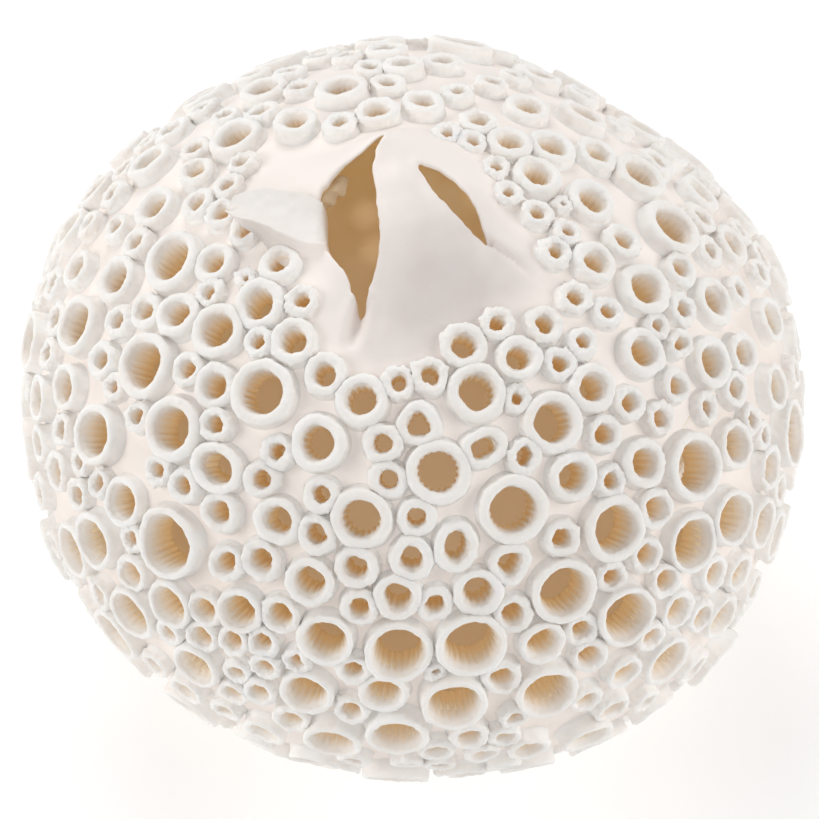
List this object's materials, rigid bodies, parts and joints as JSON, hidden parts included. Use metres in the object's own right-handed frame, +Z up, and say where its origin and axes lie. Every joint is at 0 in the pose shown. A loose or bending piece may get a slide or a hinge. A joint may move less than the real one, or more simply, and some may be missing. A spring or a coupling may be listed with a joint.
{
  "type": "flower frog",
  "caption": "Hollow white porcelain orb flower frog with a torn open top and barnacle-like collars round its stem holes.",
  "frame": {"origin": "middle of the flat foot, at the height it rests on", "axes": "+Z up through the torn top, -Y towards the front, +X to the right as seen from the front"},
  "size_m": [0.1202, 0.1203, 0.0925],
  "materials": {
    "porcelain_collars": "matte",
    "bare_clay": "matte",
    "torn_clay": "matte"
  },
  "bodies": {
    "root": {"lower_bowl": "bare_clay", "belly_band": "bare_clay", "shoulder_band": "bare_clay", "crown_dome": "bare_clay", "front_petal": "torn_clay", "right_flap": "torn_clay", "back_lip": "torn_clay", "left_shoulder": "torn_clay", "left_petal": "torn_clay", "lower_cups": "porcelain_collars", "lower_rings": "porcelain_collars", "lower_pores": "porcelain_collars", "belly_cups": "porcelain_collars", "belly_rings": "porcelain_collars", "belly_pores": "porcelain_collars", "shoulder_cups": "porcelain_collars", "shoulder_rings": "porcelain_collars", "shoulder_pores": "porcelain_collars", "crown_cups": "porcelain_collars", "crown_rings": "porcelain_collars", "crown_pores": "porcelain_collars"}
  },
  "joints": []
}
